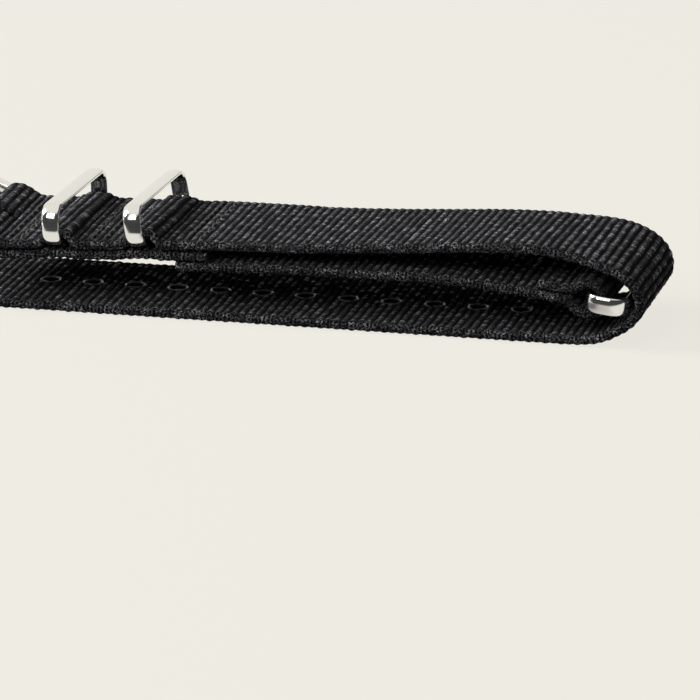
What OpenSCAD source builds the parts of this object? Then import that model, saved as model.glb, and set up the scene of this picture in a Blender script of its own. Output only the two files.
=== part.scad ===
// Pull-through watch strap in nylon webbing, lying folded on a flat surface.
// One long strap runs from the buckle over the top, turns down round the right-hand fold
// and lies flat underneath with its holes. A short flap hangs inside the fold and carries a ring.
// +X runs along the strap towards the fold, +Y across it, +Z up. Millimetres.

/* [Webbing] */
// Width of the webbing, for a watch with lugs this far apart
web_w = 20; // [16:1:24]
// Thickness of the webbing
web_t = 1.2; // [0.9:0.1:1.5]
// Air between two layers that are sewn together
layer_gap = 0.1; // [0.05:0.05:0.2]

/* [Lower run] */
// Length of the lower run, from the middle of the fold to the tip
tail_l = 180; // [150:5:220]
// Length of the rounded tip
tip_l = 9; // [6:1:12]
// Diameter of the holes for the tongue
hole_d = 2; // [1.8:0.1:2.2]
// Distance between two holes
hole_pitch = 5.3; // [4.5:0.1:6]
// Number of holes
hole_count = 12; // [7:1:14]
// Distance from the middle of the fold to the first hole
first_hole = 11.2; // [9:0.2:16]

/* [Fold] */
// Outer radius of the fold
bend_r = 5.45; // [5.2:0.05:6.2]
// Angle at which the fold passes into the upper run, level being 90
bend_end = 83; // [80:1:88]

/* [Upper run] */
// Distance from the middle of the fold to the end of the sewn stretch
sewn_from = 47.15; // [44:0.5:52]
// How far the upper run drops between the fold and the sewn stretch
upper_drop = 1.05; // [0.6:0.05:1.4]
// Slope of the sewn stretch, rising towards the fold
sewn_tilt = 2.6; // [0:0.2:4]
// Distance from the end of the sewn stretch to the keeper beside it
keeper_2_at = 8.6; // [8.2:0.1:9.4]
// Distance between the two keepers
keeper_pitch = 10.5; // [9.5:0.1:12]
// Distance from the far keeper to the buckle's bar
bar_from_keeper = 10.1; // [9.4:0.1:12]

/* [Keepers and ring] */
// Short outer side of a keeper
ring_h = 5.6; // [5.2:0.1:6]
// Thickness of the steel band
ring_t = 0.9; // [0.7:0.05:1.1]
// Width of the steel band
ring_band = 2.2; // [1.8:0.1:2.4]
// Outer corner radius of a keeper
ring_r = 2.3; // [1.6:0.1:2.5]
// Room beside the webbing inside a keeper, on each side
ring_side_gap = 0.2; // [0.15:0.05:0.6]
// Room round a keeper's bar inside its pocket
pocket_gap = 0.2; // [0.16:0.02:0.4]
// How much narrower the webbing is where a bar's round corners pinch it, on each side
pinch = 0.6; // [0.6:0.1:0.9]
// How far the keeper next to the flap leans back at rest
keeper_2_lean = 7; // [0:1:8]

/* [Buckle] */
// Diameter of the buckle's bar
bar_d = 1.5; // [1.2:0.1:1.8]
// Running clearance round the bar
bar_gap = 0.05; // [0.02:0.01:0.08]
// Distance from the bar to the outside of the front bar
frame_l = 13.4; // [12:0.2:16]
// Width of each side arm
arm_w = 1.6; // [1.4:0.1:2]
// Thickness of the frame
frame_t = 1.9; // [1.8:0.1:2.2]
// Width of the front bar
front_w = 2.4; // [2:0.1:3]
// Room beside the webbing inside the frame, on each side
frame_side_gap = 0.5; // [0.4:0.1:1]
// How far the frame stands up from level at rest
frame_tilt = 24; // [10:1:30]
// Width of the tongue
tongue_w = 1.6; // [1.2:0.1:1.6]
// Thickness of the tongue
tongue_t = 0.9; // [0.7:0.1:0.9]
// Room beside the tongue in its slot, on each side
slot_gap = 0.5; // [0.4:0.1:0.8]

/* [Flap] */
// Length of the flap's sewn root
root_l = 4.2; // [3:0.2:4.4]
// How far the ring stands off the inside of the fold
ring_end_gap = 0.5; // [0.4:0.05:0.8]
// Height of the ring above the middle of the fold
ring_rise = 0.15; // [0:0.05:0.5]
// How far the ring hangs down towards the fold at rest
ring_lean = 6; // [0:1:7]
// Clearance round the ring's bar in the folded end
fold_gap = 0.08; // [0.05:0.01:0.12]
// Distance from the middle of the fold to the flap's seam
seam_at = 4.3; // [4.1:0.1:5]
// Length of the turned-back end beyond the seam
turn_back = 3.2; // [2.5:0.1:4]

/* [Sewing] */
// Diameter of the thread
thread_d = 0.32; // [0.2:0.02:0.4]
// Length of one stitch
stitch_l = 1.5; // [1:0.1:1.8]
// Distance from one stitch to the next
stitch_pitch = 2; // [1.9:0.1:2.4]
// Distance between two rows of stitches
row_gap = 1.6; // [1.2:0.1:1.8]
// Distance from the last stitch to the edge of the webbing
sew_margin = 1.2; // [1:0.1:2]

/* [Hidden] */
$fn = 64;

webbing_colour = [0.07, 0.07, 0.08];
thread_colour = [0.14, 0.14, 0.15];
steel_colour = [0.78, 0.78, 0.8];

// Hair gap between two lengths of the same webbing that belong to different moving parts
split_gap = 0.04;
// Clearance of a thread lying on webbing
thread_gap = 0.02;
// Overlap used so that a cut passes right through
through = 1;

// The fold
bend_mid = bend_r - web_t / 2;
bend_in = bend_r - web_t;
bend_x = (tail_l - bend_r) / 2;
bend_z = bend_r;

// The sewn stretch has its own level frame, at its end nearest the fold, in the middle of the top layer
sewn_x = bend_x - sewn_from;
sewn_z = bend_z + bend_mid - upper_drop;
keeper_2_u = -keeper_2_at;
keeper_1_u = keeper_2_u - keeper_pitch;
bar_u = keeper_1_u - bar_from_keeper;
return_mid = -web_t - layer_gap;
return_top = return_mid + web_t / 2;
return_bottom = return_mid - web_t / 2;
flap_mid = return_bottom - layer_gap - web_t / 2;

// Keepers and ring
ring_l = web_w + 2 * (ring_side_gap + ring_t);
pinched_w = web_w - 2 * pinch;
keeper_bar_w = return_top + pocket_gap + ring_t / 2;
pocket_rise = ring_t + 2 * pocket_gap - layer_gap;
pocket_flat = ring_band / 2 + 0.25;
pocket_ramp = 2;
pocket_half = pocket_flat + pocket_ramp;

// Buckle
bar_r = bar_d / 2;
bore_r = bar_r + bar_gap;
fold_r = bore_r + web_t;
bar_w = return_top + bore_r;
bar_rise = bar_w + bore_r + web_t / 2;
bar_ramp = 3.6;
frame_in = web_w + 2 * frame_side_gap;
frame_w = frame_in + 2 * arm_w;
slot_w = tongue_w + 2 * slot_gap;
slot_reach = 3.2;
eye_r = bore_r + 0.55;
frame_corner = 3;
notch_d = 0.35;

// Flap and ring
ring_bar_x = bend_x + bend_in - ring_end_gap - ring_h + ring_t / 2;
ring_bar_z = bend_z + ring_rise;
loop_in = sqrt(ring_t * ring_t + ring_band * ring_band) / 2 + fold_gap;
loop_mid = loop_in + web_t / 2;
loop_out = loop_in + web_t;
loop_start = -135;
loop_end = 125;
seam_x = bend_x - seam_at;
seam_z = ring_bar_z + 0.1;
seam_slope = -8;
layer_step = web_t + layer_gap;
// How far back the middle of the flap's seam lies from where its two layers part
seam_back = 1;

// How far each curve runs on in the direction of its end before it bends away
fold_pull = 10;
sewn_pull = 8;
flap_pull = 14;
loop_pull = 0.8;

// Samples along curves
curve_steps = 28;
loop_steps = 8;
hump_steps = 12;

function dir(a) = [cos(a), sin(a)];
function bezier(a, b, c, d, t) =
    pow(1 - t, 3) * a + 3 * t * pow(1 - t, 2) * b + 3 * t * t * (1 - t) * c + pow(t, 3) * d;
function curve(a, b, c, d, n = curve_steps) = [for (i = [0:n]) bezier(a, b, c, d, i / n)];
function unit(v) = v / norm(v);
// Direction of a line at one of its points; both ends are cut square to the angles given
function heading(p, i, from, to) =
    i == 0 ? dir(from) : i == len(p) - 1 ? dir(to) : unit(p[i + 1] - p[i - 1]);
function side(p, i, d, from, to) =
    let (h = heading(p, i, from, to))
    p[i] + d * [-h[1], h[0]];
function strip(p, t, from, to) = concat(
    [for (i = [0:len(p) - 1]) side(p, i, t / 2, from, to)],
    [for (i = [len(p) - 1:-1:0]) side(p, i, -t / 2, from, to)]);
// A smooth hump: 1 over the flat, falling to 0 across the ramp
function hump(u, mid, flat, ramp) =
    let (d = abs(u - mid) - flat)
    d <= 0 ? 1 : d >= ramp ? 0 : (1 + cos(180 * d / ramp)) / 2;

// Side profile in X and Z, drawn out across the strap
module across(w) {
    rotate([90, 0, 0])
        translate([0, 0, -w / 2])
            linear_extrude(w)
                children();
}

// Anything drawn in the frame of the sewn stretch
module on_sewn() {
    translate([sewn_x, 0, sewn_z])
        rotate([0, -sewn_tilt, 0])
            children();
}

// A level layer of webbing in the sewn stretch
module layer(from, to, mid, w = web_w) {
    across(w)
        translate([from, mid - web_t / 2])
            square([to - from, web_t]);
}

// The top layer over a keeper's bar, and the layer under it
module pocket(mid_u) {
    line = [for (i = [0:2 * hump_steps])
        let (u = mid_u - pocket_half + i * pocket_half / hump_steps)
        [u, pocket_rise * hump(u, mid_u, pocket_flat, pocket_ramp)]];
    on_sewn() {
        across(pinched_w) polygon(strip(line, web_t, 0, 0));
        layer(mid_u - pocket_half, mid_u + pocket_half, return_mid, pinched_w);
    }
}

// A flat steel band bent to a rectangle with round corners, its lower bar at the origin
module band_ring() {
    translate([-ring_band / 2, 0, ring_h / 2 - ring_t / 2])
        rotate([90, 0, 90])
            linear_extrude(ring_band)
                difference() {
                    round_rect(ring_l, ring_h, ring_r);
                    round_rect(ring_l - 2 * ring_t, ring_h - 2 * ring_t, ring_r - ring_t);
                }
}

module round_rect(l, h, r) {
    square([l - 2 * r, h], center = true);
    square([l, h - 2 * r], center = true);
    for (x = [-1, 1], y = [-1, 1])
        translate([x * (l / 2 - r), y * (h / 2 - r)])
            circle(r);
}

// A row of stitches across the strap at one place along it and one height
module stitch_row(u, w) {
    count = floor((web_w - 2 * sew_margin - stitch_l) / stitch_pitch);
    for (i = [0:count])
        translate([u, (i - count / 2) * stitch_pitch, w])
            rotate([90, 0, 0])
                cylinder(h = stitch_l, d = thread_d, center = true, $fn = 16);
}

// Stitches above and below a sewn stack
module seam(u, top, bottom) {
    off = thread_d / 2 + thread_gap;
    for (s = [-1, 1]) {
        stitch_row(u + s * row_gap / 2, top + off);
        stitch_row(u + s * row_gap / 2, bottom - off);
    }
}

module strap_tail() {
    tip_x = bend_x - tail_l;
    tip = [for (i = [0:24])
        let (a = 90 + i * 7.5)
        [tip_x + tip_l * (1 + cos(a)), web_w / 2 * sin(a)]];
    color(webbing_colour)
        difference() {
            linear_extrude(web_t)
                polygon(concat([[bend_x - split_gap, web_w / 2]], tip, [[bend_x - split_gap, -web_w / 2]]));
            for (i = [0:hole_count - 1])
                translate([bend_x - first_hole - i * hole_pitch, 0, -through])
                    cylinder(h = web_t + 2 * through, d = hole_d);
        }
}

module strap_bend() {
    reach = 3 * bend_r;
    color(webbing_colour)
        translate([bend_x, 0, bend_z])
            across(web_w)
                difference() {
                    circle(bend_r);
                    circle(bend_in);
                    polygon([[0, 0], [0, -reach], [-reach, -reach], [-reach, reach], reach * dir(bend_end)]);
                }
}

module strap_upper() {
    start = [bend_x, bend_z] + bend_mid * dir(bend_end);
    first = start + split_gap * dir(bend_end + 90);
    sewn_end = [sewn_x, sewn_z];
    line = curve(
        first, start + fold_pull * dir(bend_end + 90),
        sewn_end + sewn_pull * dir(sewn_tilt), sewn_end);
    color(webbing_colour) {
        across(web_w) polygon(strip(line, web_t, bend_end + 90, sewn_tilt + 180));
        on_sewn() layer(keeper_2_u + pocket_half, 0, 0);
    }
}

module buckle_fold() {
    last = keeper_1_u - pocket_half;
    over = [for (i = [0:hump_steps])
        let (u = bar_u + i * bar_ramp / hump_steps)
        [u, bar_rise * hump(u, bar_u, 0, bar_ramp)]];
    color(webbing_colour)
        on_sewn()
            difference() {
                union() {
                    across(web_w) polygon(strip(over, web_t, 0, 0));
                    layer(bar_u + bar_ramp, last, 0);
                    layer(bar_u, last, return_mid);
                    translate([bar_u, 0, bar_w])
                        rotate([90, 0, 0])
                            difference() {
                                cylinder(h = web_w, r = fold_r, center = true);
                                cylinder(h = web_w + 2 * through, r = bore_r, center = true);
                                translate([0, -fold_r - through, -web_w / 2 - through])
                                    cube([fold_r + through, 2 * (fold_r + through), web_w + 2 * through]);
                            }
                }
                translate([bar_u - fold_r - through, -slot_w / 2, return_bottom - through])
                    cube([fold_r + through + slot_reach, slot_w, 3 * fold_r]);
            }
}

module keeper_pocket_1() {
    color(webbing_colour) pocket(keeper_1_u);
}

module pocket_bridge() {
    from = keeper_1_u + pocket_half;
    to = keeper_2_u - pocket_half;
    color(webbing_colour)
        on_sewn() {
            layer(from, to, 0);
            layer(from, to, return_mid);
        }
}

module keeper_pocket_2() {
    color(webbing_colour) pocket(keeper_2_u);
}

module strap_return_end() {
    color(webbing_colour)
        on_sewn() layer(keeper_2_u + pocket_half, -split_gap, return_mid);
}

module fold_stitches() {
    between = (bar_u + bar_ramp + keeper_1_u - pocket_half) / 2;
    color(thread_colour)
        on_sewn() seam(between, web_t / 2, return_bottom);
}

module bridge_stitches() {
    color(thread_colour)
        on_sewn() seam((keeper_1_u + keeper_2_u) / 2, web_t / 2, return_bottom);
}

module root_stitches() {
    color(thread_colour)
        on_sewn() seam(-root_l / 2, web_t / 2, flap_mid - web_t / 2);
}

module flap_root() {
    color(webbing_colour)
        on_sewn() layer(-root_l, 0, flap_mid);
}

// Where the flap leaves its root, and the seam near its ring
flap_start = [sewn_x, sewn_z] + flap_mid * dir(90 + sewn_tilt);
flap_seam = [seam_x, seam_z];
ring_bar = [ring_bar_x, ring_bar_z];

module flap_web() {
    first = flap_start + split_gap * dir(sewn_tilt);
    line = curve(
        first, flap_start + flap_pull * dir(sewn_tilt),
        flap_seam - flap_pull * dir(seam_slope), flap_seam);
    color(webbing_colour)
        across(web_w) polygon(strip(line, web_t, sewn_tilt, seam_slope));
}

module flap_ring_fold() {
    under_end = ring_bar + loop_mid * dir(loop_start);
    over_end = ring_bar + loop_mid * dir(loop_end);
    step = layer_step * dir(90 + seam_slope);
    over_seam = flap_seam + step;
    under_to = loop_start + 90;
    over_from = loop_end + 90;
    back_at = seam_slope + 180;
    under = curve(
        flap_seam, flap_seam + loop_pull * dir(seam_slope),
        under_end - loop_pull * dir(under_to), under_end, loop_steps);
    over = curve(
        over_end, over_end + loop_pull * dir(over_from),
        over_seam - loop_pull * dir(back_at), over_seam, loop_steps);
    back = [over_seam, over_seam - turn_back * dir(seam_slope)];
    reach = 3 * loop_out;
    color(webbing_colour) {
        across(pinched_w) {
            polygon(strip(under, web_t, seam_slope, under_to));
            polygon(strip(over, web_t, over_from, back_at));
            polygon(strip(back, web_t, back_at, back_at));
        }
        translate([ring_bar_x, 0, ring_bar_z])
            across(pinched_w)
                difference() {
                    circle(loop_out);
                    circle(loop_in);
                    polygon([[0, 0], reach * dir(loop_start), [-reach, 0], reach * dir(loop_end)]);
                }
    }
}

module flap_stitches() {
    centre = flap_seam + layer_step / 2 * dir(90 + seam_slope);
    half = layer_step / 2 + web_t / 2;
    color(thread_colour)
        translate([centre[0], 0, centre[1]])
            rotate([0, -seam_slope, 0])
                seam(-seam_back, half, -half);
}

module buckle_frame() {
    round_l = frame_l - frame_corner;
    color(steel_colour)
        on_buckle()
            difference() {
                union() {
                    translate([0, 0, -frame_t / 2])
                        linear_extrude(frame_t)
                            difference() {
                                union() {
                                    translate([-round_l, -frame_w / 2]) square([round_l, frame_w]);
                                    translate([-frame_l, -frame_w / 2 + frame_corner])
                                        square([frame_corner + through, frame_w - 2 * frame_corner]);
                                    for (s = [-1, 1])
                                        translate([-round_l, s * (frame_w / 2 - frame_corner)])
                                            circle(frame_corner);
                                }
                                translate([-frame_l + front_w, -frame_in / 2])
                                    square([frame_l + through, frame_in]);
                            }
                    for (s = [-1, 1])
                        translate([0, s * (frame_in / 2 + arm_w / 2), 0])
                            rotate([90, 0, 0])
                                cylinder(h = arm_w, r = frame_t / 2 + 0.25, center = true);
                }
                rotate([90, 0, 0])
                    cylinder(h = frame_w + 2 * through, r = bar_r + thread_gap, center = true);
                translate([-frame_l - through, -tongue_w / 2 - 0.2, frame_t / 2 - notch_d])
                    cube([front_w + 2 * through, tongue_w + 0.4, frame_t]);
            }
}

// Anything drawn in the frame of the buckle, its bar at the origin and its front to the left
module on_buckle() {
    on_sewn()
        translate([bar_u, 0, bar_w])
            rotate([0, frame_tilt + sewn_tilt, 0])
                children();
}

module buckle_bar() {
    color(steel_colour)
        on_buckle()
            rotate([90, 0, 0])
                cylinder(h = frame_w, r = bar_r, center = true);
}

module buckle_tongue() {
    rest_z = frame_t / 2 - notch_d + thread_gap + tongue_t / 2;
    eye_z = eye_r - tongue_t / 2 - 0.05;
    tip_x = -frame_l - 0.3;
    knee_x = -4;
    half = tongue_t / 2;
    line = concat(curve([0.1, eye_z], [-1.5, eye_z], [knee_x + 1.5, rest_z], [knee_x, rest_z], 8),
        [[tip_x, rest_z]]);
    last = len(line) - 1;
    round_tip = [for (a = [165:-15:15]) [tip_x, rest_z] + half * dir(90 + a)];
    outline = concat(
        [for (i = [0:last]) side(line, i, half, 180, 180)],
        round_tip,
        [for (i = [last:-1:0]) side(line, i, -half, 180, 180)]);
    color(steel_colour)
        on_buckle()
            difference() {
                union() {
                    across(tongue_w) circle(eye_r);
                    across(tongue_w) polygon(outline);
                }
                rotate([90, 0, 0])
                    cylinder(h = tongue_w + 2 * through, r = bore_r, center = true);
            }
}

module keeper_1() {
    color(steel_colour)
        on_sewn()
            translate([keeper_1_u, 0, keeper_bar_w])
                band_ring();
}

module keeper_2() {
    color(steel_colour)
        on_sewn()
            translate([keeper_2_u, 0, keeper_bar_w])
                rotate([0, -keeper_2_lean, 0])
                    band_ring();
}

module flap_ring() {
    color(steel_colour)
        translate([ring_bar_x, 0, ring_bar_z])
            rotate([0, 90 + ring_lean, 0])
                band_ring();
}

// Where the moving parts turn, and the strap's whole length, for the record
function from_sewn(u, w) = [sewn_x, sewn_z] + u * dir(sewn_tilt) + w * dir(90 + sewn_tilt);
echo(fold = [bend_x + bend_mid, bend_z]);
echo(buckle_bar = from_sewn(bar_u, bar_w), keeper_1 = from_sewn(keeper_1_u, keeper_bar_w));
echo(keeper_2 = from_sewn(keeper_2_u, keeper_bar_w), flap = flap_start, ring = ring_bar);
echo(strap_length = tail_l + bend_mid * PI * (bend_end + 90) / 180 + sewn_from - bar_u);

strap_tail();
strap_bend();
strap_upper();
buckle_fold();
keeper_pocket_1();
pocket_bridge();
keeper_pocket_2();
strap_return_end();
fold_stitches();
bridge_stitches();
root_stitches();
flap_root();
flap_web();
flap_ring_fold();
flap_stitches();
buckle_frame();
buckle_bar();
buckle_tongue();
keeper_1();
keeper_2();
flap_ring();
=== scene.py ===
import math

import bpy
import numpy as np
from mathutils import Matrix, Vector


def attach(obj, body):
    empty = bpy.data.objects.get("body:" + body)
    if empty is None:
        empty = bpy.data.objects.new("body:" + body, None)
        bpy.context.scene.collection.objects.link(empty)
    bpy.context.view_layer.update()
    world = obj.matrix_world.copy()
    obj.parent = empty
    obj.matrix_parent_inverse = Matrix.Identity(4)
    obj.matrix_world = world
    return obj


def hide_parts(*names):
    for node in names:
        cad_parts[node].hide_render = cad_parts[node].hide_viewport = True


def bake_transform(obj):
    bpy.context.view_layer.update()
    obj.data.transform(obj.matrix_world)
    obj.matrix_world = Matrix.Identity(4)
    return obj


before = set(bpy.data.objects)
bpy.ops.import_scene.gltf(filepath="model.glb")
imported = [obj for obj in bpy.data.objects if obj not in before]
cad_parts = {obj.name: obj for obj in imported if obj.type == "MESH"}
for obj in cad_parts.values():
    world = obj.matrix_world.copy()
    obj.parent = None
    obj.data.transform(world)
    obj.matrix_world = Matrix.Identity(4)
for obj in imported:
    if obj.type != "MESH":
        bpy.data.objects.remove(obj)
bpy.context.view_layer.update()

# Sizes in millimetres, in the part's frame
MM = 0.001
# Millimetres in one unit of the webbing's texture
UV_SCALE = 100
# Step along a line, and how many steps on either side of a point it is smoothed over
LINE_STEP, SMOOTH = 0.05, 4

# The webbing: half its width, its thickness and the distance between two sewn layers
HALF, THICK, LAYER_STEP = 10.0, 1.2, 1.3
# Distance between two ribs, rows of points on each, and how far they stand out
RIB, PER_RIB, RELIEF = 0.97, 8, 0.24
# Width of its round edges, half its width between them, and the distance between two warp threads
EDGE, FLAT = 0.6, 9.4
WARP = FLAT / 12
COLUMNS = np.linspace(-FLAT, FLAT, 97)
# Points round an edge, the edge's length, and the length once round the webbing
RIM, RIM_LENGTH = 9, 1.9
ROUND = np.linspace(0, math.pi, RIM + 2)[1:-1]
AROUND = 2 * (2 * FLAT + RIM_LENGTH)

# The centre of the fold's curve, the lower run's tip and the length of its rounding, and the holes
BEND_X = 87.275
TAIL_END = BEND_X - 180.0
TIP = 9.0
FIRST_HOLE = BEND_X - 11.2
HOLE_PITCH, HOLES, HOLE_R = 5.3, 12, 1.0
# A hole's melted rim: its middle from the hole's edge, half its width, and half its height
RIM_OUT, RIM_HALF_W, RIM_HALF_H = 0.17, 0.2, 0.63

# The sewn stretch's end nearest the fold; u is measured from there along it, and w up from it
SEWN_X, SEWN_Z, SEWN_TILT = 40.125, 9.25, math.radians(2.6)
# The keepers' lower bars, the second one's lean, and their roll and shift across the strap
KEEPER_1_U, KEEPER_2_U, KEEPER_BAR_W = -19.1, -8.6, -0.12
KEEPER_LEAN, KEEPER_ROLL, KEEPER_SHIFT = math.radians(7), math.radians(1.3), -0.25
# How the top layer rises over a keeper's lower bar: height, flat half, ramp and middle
POCKET_RISE, POCKET_FLAT, POCKET_RAMP, POCKET_AT = 1.0, 0.8, 1.7, 0.3
# How far from keeper 1 the stretch ends whose middle the buckle's seam lies on
SEAM_ROOM = 3.75
# The buckle's bar, the rise of the webbing towards it, and the radius at which it goes round
BAR_U, BAR_W, BAR_RISE, BAR_RAMP, BAR_LOOP = -29.2, 0.1, 1.5, 3.6, 1.4
# The slot for the tongue: half its width, and how far it reaches along the line either way
SLOT_W, SLOT_BEFORE, SLOT_AFTER = 1.4, 4.6, 4.2

# The flap: its root's w and lowest u, its slope at the ring, the angles of its loop, and its sag
FLAP_W, FLAP_ROOT = -2 * LAYER_STEP, -4.2
FLAP_SLOPE = math.radians(-8)
LOOP_FROM, LOOP_TO = -135, 125
SAG, SAG_X, SAG_REACH = 0.2, 57.5, 7.5

# Keepers and ring: length, width and thickness of the band, and outer corner
RING_L, BAND_W, BAND_T, RING_CORNER = 22.2, 2.2, 0.9, 2.3
# Half the width and thickness of the band as it looks, how far its outer face is crowned, and the
# shortest step along its straight sides
BAND_HALF_W, BAND_HALF_T, CROWN, BAND_STEP = 1.08, 0.33, 0.1, 1.2
# From the middle of the lower bar to that of the upper one
KEEPER_H, RING_H = 4.55, 4.7
# The ring's lower bar, its lean, its slope down to the far side, and its room in the flap
RING_X, RING_Z, RING_LEAN, RING_DROOP, RING_ROOM = 85.875, 5.6, math.radians(7), 0.004, 0.08
RING_BAR = np.array([RING_X, RING_Z])
# Where the flap's two layers part to go round the ring
FLAP_SEAM = np.array([BEND_X - 4.3, RING_Z - 0.08])

# The buckle: its tilt, the middles of its arms and of its front bar, and half its thickness
FRAME_TILT = math.radians(26.6)
ARM_Y, FRONT_X, FRAME_H = 11.3, -12.2, 0.95
# Half the width of an arm and of the front bar, and the outer corner of their middle line
ARM_W, FRONT_W, FRAME_CORNER = 0.8, 1.2, 2.2
# The frame's eyes on the bar: inner and outer radius, and half their width
FRAME_BORE_R, FRAME_EYE_R, FRAME_EYE_W = 0.76, 1.22, 0.82
# The notch in the front bar: its depth under the tongue and as it looks, half its width and its ramp
NOTCH, NOTCH_DIP, NOTCH_Y, NOTCH_RAMP = 0.35, 0.33, 1.25, 0.3
# The tongue: half its width and height, its eye's inner and outer radius, and its room in the notch
TONGUE_W, TONGUE_H, TONGUE_BORE_R, TONGUE_EYE_R, TONGUE_ROOM = 0.8, 0.45, 0.8, 1.35, 0.02

# Stitches: length seen, pitch, from row to row, from the edge, and how far inside their middle lies
STITCH_L, STITCH_PITCH, ROW_GAP, SEW_MARGIN, STITCH_IN = 1.5, 2.0, 1.6, 1.2, 0.02
# The thread's radius, half a stitch's length with its ends, and how far it rises and its ends dip
THREAD_R, STITCH_HALF, STITCH_RISE, STITCH_DIP = 0.17, 0.85, 0.16, 0.35


# Lines in X and Z
def turn(a):
    """The direction at an angle from X."""
    return np.array([math.cos(a), math.sin(a)])


def from_sewn(u, w):
    return np.array([SEWN_X, SEWN_Z]) + u * turn(SEWN_TILT) + w * turn(SEWN_TILT + math.pi / 2)


def arc(centre, r, a0, a1, n):
    return [np.array(centre) + r * turn(math.radians(a)) for a in np.linspace(a0, a1, n)]


def bezier(a, b, c, d, n):
    t = np.linspace(0, 1, n)[:, None]
    return list((1 - t) ** 3 * a + 3 * t * (1 - t) ** 2 * b + 3 * t * t * (1 - t) * c + t**3 * d)


def through(points, n=12):
    """A smooth line through the points, by Catmull and Rom's rule."""
    p = [np.array(q, float) for q in points]
    p = [2 * p[0] - p[1]] + p + [2 * p[-1] - p[-2]]
    out = []
    for a, b, c, d in zip(p, p[1:], p[2:], p[3:]):
        for t in np.arange(n) / n:
            out.append(
                0.5
                * (
                    2 * b
                    + (c - a) * t
                    + (2 * a - 5 * b + 4 * c - d) * t * t
                    + (3 * b - a - 3 * c + d) * t**3
                )
            )
    out.append(p[-2])
    return out


def hump(u, mid, flat, ramp):
    """1 within flat of mid, and falling to 0 over the ramp beside it."""
    d = (abs(u - mid) - flat) / ramp
    return 1.0 if d <= 0 else 0.0 if d >= 1 else (1 + math.cos(math.pi * d)) / 2


class Line:
    """A line in X and Z, measured along its length."""

    def __init__(self, points):
        p = np.array(points, float)
        keep = np.r_[True, np.linalg.norm(np.diff(p, axis=0), axis=1) > 1e-6]
        p = p[keep]
        s = np.r_[0, np.cumsum(np.linalg.norm(np.diff(p, axis=0), axis=1))]
        self.s = np.arange(0, s[-1], LINE_STEP)
        self.x = np.interp(self.s, s, p[:, 0])
        self.z = np.interp(self.s, s, p[:, 1])
        window = 2 * SMOOTH + 1
        for v in (self.x, self.z):
            v[SMOOTH:-SMOOTH] = np.convolve(v, np.ones(window) / window, "valid")
        self.a = np.unwrap(np.arctan2(np.gradient(self.z), np.gradient(self.x)))
        self.length = self.s[-1]

    def at(self, s):
        """X and Z there, and the direction to its left."""
        a = np.interp(s, self.s, self.a)
        return np.interp(s, self.s, self.x), np.interp(s, self.s, self.z), -np.sin(a), np.cos(a)

    def where(self, test):
        """The first place that passes the test of its X and Z."""
        return self.s[np.argmax(test(self.x, self.z))]


# Meshes
def make(name, verts, faces, slot, uv=None, cols=0, around=0):
    """A piece from points in millimetres.

    uv is a pair for each point, in millimetres too. It goes on by around where a grid of cols
    closes on itself.
    """
    mesh = bpy.data.meshes.new(name)
    mesh.from_pydata((np.asarray(verts) * MM).tolist(), [], faces)
    mesh.polygons.foreach_set("use_smooth", np.ones(len(mesh.polygons), bool))
    if uv is not None:
        layer = mesh.uv_layers.new(name="along")
        loops = np.zeros(len(mesh.loops), np.int32)
        mesh.loops.foreach_get("vertex_index", loops)
        place = np.array(uv)[loops]
        if cols:
            quads = sum(len(f) == 4 for f in faces) * 4
            column = loops[:quads].reshape(-1, 4) % cols
            closing = (column == 0) & (column == cols - 1).any(axis=1)[:, None]
            place[:quads, 1] += around * closing.ravel()
        layer.data.foreach_set("uv", (place / UV_SCALE).ravel())
    mesh.update()
    obj = bpy.data.objects.new(name, mesh)
    bpy.context.scene.collection.objects.link(obj)
    mesh.materials.append(MATERIALS[slot])
    return obj


def placed(points, origin, angle):
    """Points turned about Y, positive lifting the left-hand side, and then moved."""
    p = np.asarray(points, float).reshape(-1, 3)
    c, s = math.cos(angle), math.sin(angle)
    return np.stack(
        [
            p[:, 0] * c + p[:, 2] * s + origin[0],
            p[:, 1],
            -p[:, 0] * s + p[:, 2] * c + origin[1],
        ],
        axis=1,
    )


def grid_faces(rows, cols, closed_rows=False, first=0):
    out = []
    for i in range(rows if closed_rows else rows - 1):
        a, b = first + i * cols, first + ((i + 1) % rows) * cols
        for k in range(cols):
            m = (k + 1) % cols
            out.append((a + k, b + k, b + m, a + m))
    return out


def end_faces(rows, cols, first=0):
    """The two faces that close the ends of a grid."""
    last = first + (rows - 1) * cols
    return [tuple(range(first, first + cols)), tuple(range(last + cols - 1, last - 1, -1))]


def softened(v, power):
    return np.sign(v) * abs(v) ** power


def ellipse(half_a, half_b, n, power):
    """Points round an ellipse that is squarer the greater the power."""
    t = np.linspace(0, 2 * math.pi, n, endpoint=False)
    c, s = softened(np.cos(t), 2 / power), softened(np.sin(t), 2 / power)
    return np.stack([half_a * c, half_b * s], 1)


def wobble(s, y, seed):
    """A small unevenness that never repeats, from about -1 to 1."""
    return (
        np.sin(s * 0.83 + y * 0.37 + seed)
        + np.sin(s * 1.71 - y * 0.91 + 2.3 * seed)
        + np.sin(s * 0.29 + y * 1.53 + 4.1 * seed)
    ) / 3


def scatter(a, b):
    """A value from 0 to 1 for each pair of whole numbers, with no order to it."""
    return np.mod(np.sin(a * 12.9898 + b * 78.233) * 43758.5453, 1.0)


def corners_of(cells):
    """The points of a grid that lie at the corners of the cells that are set."""
    rows, cols = cells.shape
    out = np.zeros((rows + 1, cols + 1), bool)
    for i in (0, 1):
        for k in (0, 1):
            out[i : rows + i, k : cols + k] |= cells
    return out


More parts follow.
